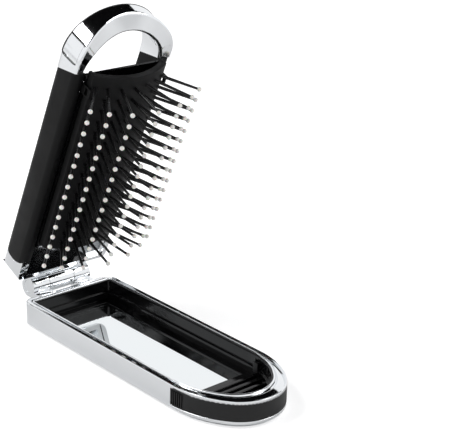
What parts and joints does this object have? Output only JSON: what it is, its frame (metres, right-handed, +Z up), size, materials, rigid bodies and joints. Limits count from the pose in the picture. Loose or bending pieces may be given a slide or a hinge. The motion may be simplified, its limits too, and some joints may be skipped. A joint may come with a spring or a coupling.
{
  "type": "folding hairbrush",
  "caption": "Folding hairbrush with a mirror lid, two squeeze buttons, a finger arch and a bristle pad that draws in as it closes.",
  "frame": {"origin": "centre of the flat under face of the cover plate on the lid half, which lies flat", "axes": "+Z up out of the open mirror tray; +X along the lid from the hinge to the round tip; +Y across the lid to its left side"},
  "size_m": [0.1312, 0.05, 0.1288],
  "materials": {
    "chrome": "bright plated",
    "soft_touch": "soft-touch lacquer",
    "tray_plastic": "fine satin moulding",
    "mirror": "silvered float glass",
    "pin_steel": "drawn wire",
    "pad_rubber": "matt moulded rubber",
    "bristle_nylon": "drawn nylon",
    "tip_resin": "dipped resin ball"
  },
  "bodies": {
    "lid": {"lid_shell": "chrome", "lid_cover_plate": "chrome", "mirror_tray": "tray_plastic", "mirror_glass": "mirror", "release_band": "tray_plastic"},
    "button_left": {"button_left": "tray_plastic"},
    "button_right": {"button_right": "tray_plastic"},
    "hinge_core": {"hinge_pin": "pin_steel", "pin_caps": "chrome"},
    "brush": {"brush_yoke": "chrome", "rail_left": "soft_touch", "rail_right": "soft_touch", "arch": "chrome", "latch_tongue_left": "tray_plastic", "latch_tongue_right": "tray_plastic"},
    "bed": {"pad_bed": "tray_plastic", "pad": "pad_rubber"},
    "column_1": {"bristles_1": "bristle_nylon", "tips_1": "tip_resin"},
    "column_2": {"bristles_2": "bristle_nylon", "tips_2": "tip_resin"},
    "column_3": {"bristles_3": "bristle_nylon", "tips_3": "tip_resin"},
    "column_4": {"bristles_4": "bristle_nylon", "tips_4": "tip_resin", "pad_spine": "tray_plastic"},
    "column_5": {"bristles_5": "bristle_nylon", "tips_5": "tip_resin"},
    "column_6": {"bristles_6": "bristle_nylon", "tips_6": "tip_resin"},
    "column_7": {"bristles_7": "bristle_nylon", "tips_7": "tip_resin"}
  },
  "joints": [
    {"name": "fold_open", "type": "hinge", "parent": "hinge_core", "child": "brush", "pos_m": [-0.06475, 0, 0.0118], "axis": [0, -1, 0], "range_deg": [0, 114]},
    {"name": "fold_shut", "type": "hinge", "parent": "hinge_core", "child": "lid", "pos_m": [-0.06475, 0, 0.0118], "axis": [0, -1, 0], "range_deg": [0, 66], "deforming": ["pad", "latch_tongue_left", "latch_tongue_right"]},
    {"name": "squeeze_left", "type": "slide", "parent": "lid", "child": "button_left", "axis": [0, -1, 0], "range_m": [0, 0.00085], "stiffness_N_per_m": 400},
    {"name": "squeeze_right", "type": "slide", "parent": "lid", "child": "button_right", "axis": [0, 1, 0], "range_m": [0, 0.00085], "stiffness_N_per_m": 400},
    {"name": "bed_drop", "type": "slide", "parent": "brush", "child": "bed", "axis": [-0.9135, 0, 0.4067], "range_m": [0, 0.01174]},
    {"name": "column_1_lean", "type": "hinge", "parent": "bed", "child": "column_1", "pos_m": [-0.03302, 0.01502, 0.06973], "axis": [-0.4067, 0, -0.9135], "range_deg": [0, 47]},
    {"name": "column_2_lean", "type": "hinge", "parent": "bed", "child": "column_2", "pos_m": [-0.03261, 0.01597, 0.06954], "axis": [-0.4067, 0, -0.9135], "range_deg": [0, 33]},
    {"name": "column_3_lean", "type": "hinge", "parent": "bed", "child": "column_3", "pos_m": [-0.03247, 0.02176, 0.06948], "axis": [-0.4067, 0, -0.9135], "range_deg": [0, 20]},
    {"name": "column_4_drop", "type": "slide", "parent": "bed", "child": "column_4", "axis": [-0.9135, 0, 0.4067], "range_m": [0, 0.0057]},
    {"name": "column_5_lean", "type": "hinge", "parent": "bed", "child": "column_5", "pos_m": [-0.03247, -0.02176, 0.06948], "axis": [0.4067, 0, 0.9135], "range_deg": [0, 20]},
    {"name": "column_6_lean", "type": "hinge", "parent": "bed", "child": "column_6", "pos_m": [-0.03261, -0.01597, 0.06954], "axis": [0.4067, 0, 0.9135], "range_deg": [0, 33]},
    {"name": "column_7_lean", "type": "hinge", "parent": "bed", "child": "column_7", "pos_m": [-0.03302, -0.01502, 0.06973], "axis": [0.4067, 0, 0.9135], "range_deg": [0, 47]}
  ],
  "couplings": [
    {"joint": "bed_drop", "follows": "fold_shut", "m_per_rad": 0.010192},
    {"joint": "column_1_lean", "follows": "fold_shut", "ratio": 0.71212},
    {"joint": "column_2_lean", "follows": "fold_shut", "ratio": 0.5},
    {"joint": "column_3_lean", "follows": "fold_shut", "ratio": 0.30303},
    {"joint": "column_4_drop", "follows": "fold_shut", "m_per_rad": 0.0049483},
    {"joint": "column_5_lean", "follows": "fold_shut", "ratio": 0.30303},
    {"joint": "column_6_lean", "follows": "fold_shut", "ratio": 0.5},
    {"joint": "column_7_lean", "follows": "fold_shut", "ratio": 0.71212}
  ]
}
